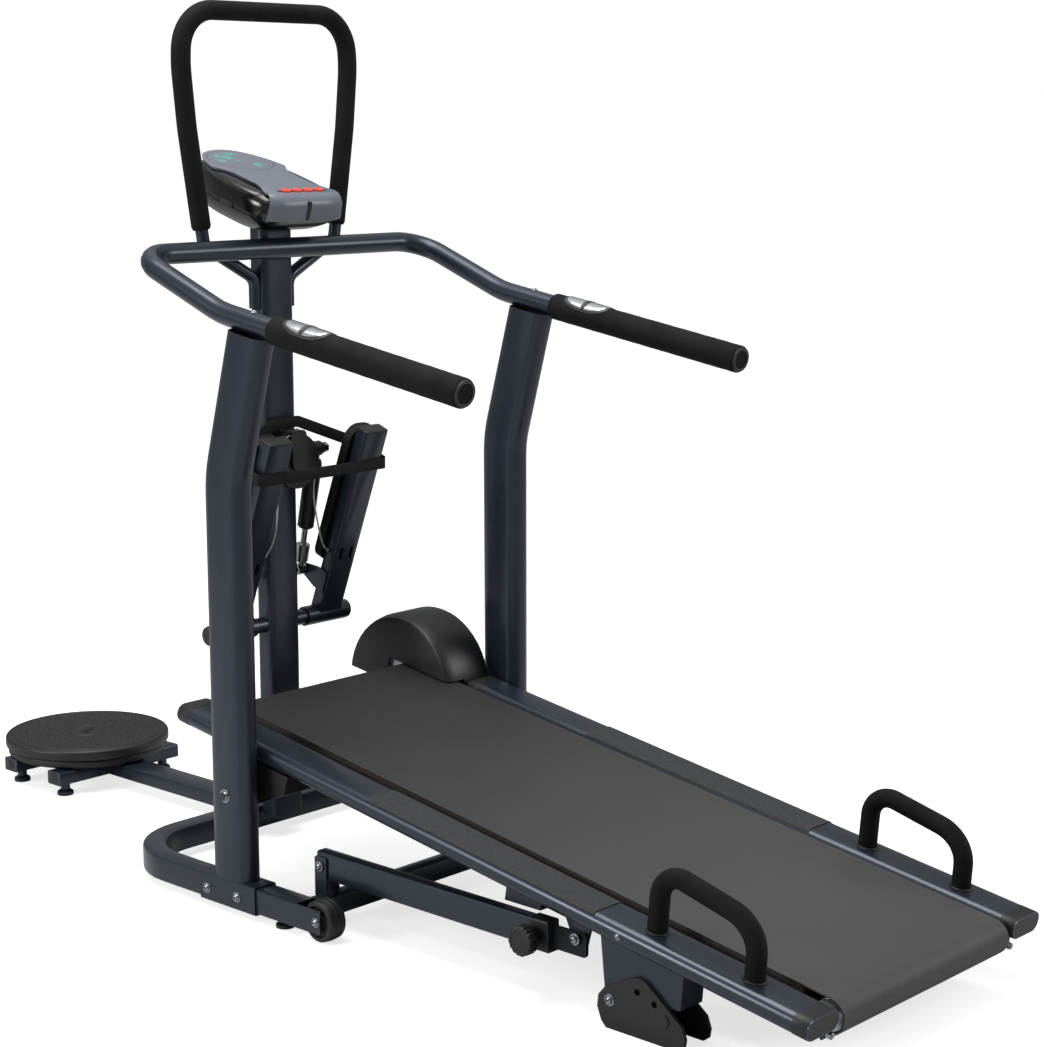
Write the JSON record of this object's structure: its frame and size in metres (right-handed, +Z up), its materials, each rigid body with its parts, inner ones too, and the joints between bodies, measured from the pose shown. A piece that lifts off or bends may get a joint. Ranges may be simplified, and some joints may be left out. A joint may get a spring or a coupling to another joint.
{
  "type": "inclined manual treadmill",
  "caption": "Inclined manual treadmill: folding deck with belt, rollers and flywheel, cable stepper, twister plate, push-up handles, handrail and console.",
  "frame": {"origin": "on the floor under the middle of the whole machine", "axes": "+X to the user's right, +Y from the deck's rear end towards the console and twister plate, +Z up"},
  "size_m": [0.6316, 1.9082, 1.33],
  "materials": {
    "slate_enamel": "satin slate-blue powder coat",
    "black_plastic": "fine matt texture",
    "foam": "matt closed-cell foam",
    "rubber": "matt ribbed rubber",
    "belt": "matt woven and coated",
    "console_grey": "satin",
    "button_red": "satin",
    "sensor_steel": "polished",
    "wire_rope": "galvanised strands",
    "dark_steel": "black oxide",
    "board": "dark laminate",
    "cover_black": "satin moulded",
    "roller_steel": "turned",
    "strap_black": "webbing"
  },
  "bodies": {
    "base": {"base_bow": "slate_enamel", "left_foot_tube": "slate_enamel", "right_foot_tube": "slate_enamel", "base_cross_tube": "slate_enamel", "left_levelling_foot": "black_plastic", "right_levelling_foot": "black_plastic", "left_upright": "slate_enamel", "right_upright": "slate_enamel", "mast": "slate_enamel", "stepper_shaft": "roller_steel", "handrail_tube": "slate_enamel", "left_grip_foam": "foam", "right_grip_foam": "foam", "left_pulse_sensor": "sensor_steel", "right_pulse_sensor": "sensor_steel", "loop_handle_tube": "slate_enamel", "loop_handle_foam": "foam", "console_top": "console_grey", "console_base": "cover_black", "shock_bar": "slate_enamel", "pulley_bracket": "black_plastic", "stepper_cable": "wire_rope", "storage_strap": "strap_black", "twister_frame": "slate_enamel", "twister_base": "rubber"},
    "deck": {"left_rail": "slate_enamel", "right_rail": "slate_enamel", "left_rail_pad": "rubber", "right_rail_pad": "rubber", "front_cross_member": "dark_steel", "rear_cross_member": "slate_enamel", "deck_board": "board", "belt": "belt", "flywheel_cover": "cover_black", "left_push_up_handle": "foam", "right_push_up_handle": "foam"},
    "front_roller": {"front_roller": "roller_steel", "flywheel": "roller_steel"},
    "rear_roller": {"rear_roller": "roller_steel"},
    "left_wheel": {"left_wheel": "black_plastic"},
    "right_wheel": {"right_wheel": "black_plastic"},
    "turning_plate": {"twister_plate": "rubber"},
    "pulley": {"pulley": "black_plastic"},
    "left_pedal": {"left_pedal_arm": "slate_enamel", "left_foot_plate": "rubber"},
    "right_pedal": {"right_pedal_arm": "slate_enamel", "right_foot_plate": "rubber"},
    "left_shock_cylinder": {"left_shock_cylinder": "dark_steel"},
    "right_shock_cylinder": {"right_shock_cylinder": "dark_steel"},
    "left_shock_rod": {"left_shock_rod": "roller_steel"},
    "right_shock_rod": {"right_shock_rod": "roller_steel"},
    "left_cam_foot": {"left_cam_foot": "dark_steel"},
    "right_cam_foot": {"right_cam_foot": "dark_steel"},
    "strut_tube": {"strut_tube": "slate_enamel"},
    "strut_bar": {"strut_bar": "dark_steel"},
    "lock_knob": {"strut_knob": "black_plastic"},
    "console_button_1": {"console_button_1": "button_red"},
    "console_button_2": {"console_button_2": "button_red"},
    "console_button_3": {"console_button_3": "button_red"},
    "console_button_4": {"console_button_4": "button_red"}
  },
  "joints": [
    {"name": "deck_fold", "type": "hinge", "parent": "base", "child": "deck", "pos_m": [0, 0.05758, 0.179], "axis": [-1, 0, 0], "range_deg": [0, 46]},
    {"name": "front_roller_spin", "type": "hinge", "parent": "deck", "child": "front_roller", "pos_m": [0, 0.17387, 0.24296], "axis": [1, 0, 0], "continuous": true},
    {"name": "rear_roller_spin", "type": "hinge", "parent": "deck", "child": "rear_roller", "pos_m": [0, -0.92731, 0.0744], "axis": [1, 0, 0], "continuous": true},
    {"name": "left_wheel_spin", "type": "hinge", "parent": "base", "child": "left_wheel", "pos_m": [-0.29, -0.13242, 0.031], "axis": [1, 0, 0], "continuous": true},
    {"name": "right_wheel_spin", "type": "hinge", "parent": "base", "child": "right_wheel", "pos_m": [0.29, -0.13242, 0.031], "axis": [1, 0, 0], "continuous": true},
    {"name": "twister_turn", "type": "hinge", "parent": "base", "child": "turning_plate", "pos_m": [0, 0.81108, 0.08], "axis": [0, 0, 1], "continuous": true},
    {"name": "pulley_spin", "type": "hinge", "parent": "base", "child": "pulley", "pos_m": [0, 0.23978, 0.622], "axis": [0, 1, 0], "continuous": true},
    {"name": "left_pedal_swing", "type": "hinge", "parent": "base", "child": "left_pedal", "pos_m": [0, 0.28758, 0.355], "axis": [1, 0, 0], "range_deg": [0, 50], "deforming": ["stepper_cable", "storage_strap"]},
    {"name": "left_shock_swing", "type": "hinge", "parent": "base", "child": "left_shock_cylinder", "pos_m": [-0.063, 0.26128, 0.633], "axis": [1, 0, 0], "range_deg": [-18.5, 0.5]},
    {"name": "left_shock_rod_swing", "type": "hinge", "parent": "left_pedal", "child": "left_shock_rod", "pos_m": [-0.063, 0.30451, 0.43005], "axis": [1, 0, 0], "range_deg": [-68.5, 0.5]},
    {"name": "left_cam_turn", "type": "hinge", "parent": "deck", "child": "left_cam_foot", "pos_m": [-0.234, -0.63942, 0.036], "axis": [-1, 0, 0], "range_deg": [0, 25]},
    {"name": "right_pedal_swing", "type": "hinge", "parent": "base", "child": "right_pedal", "pos_m": [0, 0.28758, 0.355], "axis": [1, 0, 0], "range_deg": [0, 50]},
    {"name": "right_shock_swing", "type": "hinge", "parent": "base", "child": "right_shock_cylinder", "pos_m": [0.063, 0.26128, 0.633], "axis": [1, 0, 0], "range_deg": [-18.5, 0.5]},
    {"name": "right_shock_rod_swing", "type": "hinge", "parent": "right_pedal", "child": "right_shock_rod", "pos_m": [0.063, 0.30451, 0.43005], "axis": [1, 0, 0], "range_deg": [-68.5, 0.5]},
    {"name": "right_cam_turn", "type": "hinge", "parent": "deck", "child": "right_cam_foot", "pos_m": [0.234, -0.63942, 0.036], "axis": [-1, 0, 0], "range_deg": [0, 25]},
    {"name": "strut_swing", "type": "hinge", "parent": "base", "child": "strut_tube", "pos_m": [-0.2435, -0.08742, 0.092], "axis": [-1, 0, 0], "range_deg": [0, 52]},
    {"name": "strut_slide", "type": "slide", "parent": "strut_tube", "child": "strut_bar", "axis": [0, -1, 0], "range_m": [0, 0.119]},
    {"name": "lock_knob_pull", "type": "slide", "parent": "strut_tube", "child": "lock_knob", "axis": [-1, 0, 0], "range_m": [0, 0.01], "stiffness_N_per_m": 500, "springref_m": -0.004},
    {"name": "button_1_press", "type": "slide", "parent": "base", "child": "console_button_1", "axis": [0, 0.3007, -0.9537], "range_m": [0, 0.0015], "stiffness_N_per_m": 400, "springref_m": -0.002},
    {"name": "button_2_press", "type": "slide", "parent": "base", "child": "console_button_2", "axis": [0, 0.3007, -0.9537], "range_m": [0, 0.0015], "stiffness_N_per_m": 400, "springref_m": -0.002},
    {"name": "button_3_press", "type": "slide", "parent": "base", "child": "console_button_3", "axis": [0, 0.3007, -0.9537], "range_m": [0, 0.0015], "stiffness_N_per_m": 400, "springref_m": -0.002},
    {"name": "button_4_press", "type": "slide", "parent": "base", "child": "console_button_4", "axis": [0, 0.3007, -0.9537], "range_m": [0, 0.0015], "stiffness_N_per_m": 400, "springref_m": -0.002}
  ],
  "couplings": [
    {"joint": "rear_roller_spin", "follows": "front_roller_spin", "ratio": 1.2114},
    {"joint": "left_shock_swing", "follows": "left_pedal_swing", "ratio": -0.3525},
    {"joint": "left_shock_rod_swing", "follows": "left_pedal_swing", "ratio": -1.3525},
    {"joint": "right_shock_swing", "follows": "right_pedal_swing", "ratio": -0.3525},
    {"joint": "right_shock_rod_swing", "follows": "right_pedal_swing", "ratio": -1.3525},
    {"joint": "strut_swing", "follows": "deck_fold", "ratio": 1.1196},
    {"joint": "strut_slide", "follows": "deck_fold", "m_per_rad": 0.14723}
  ]
}
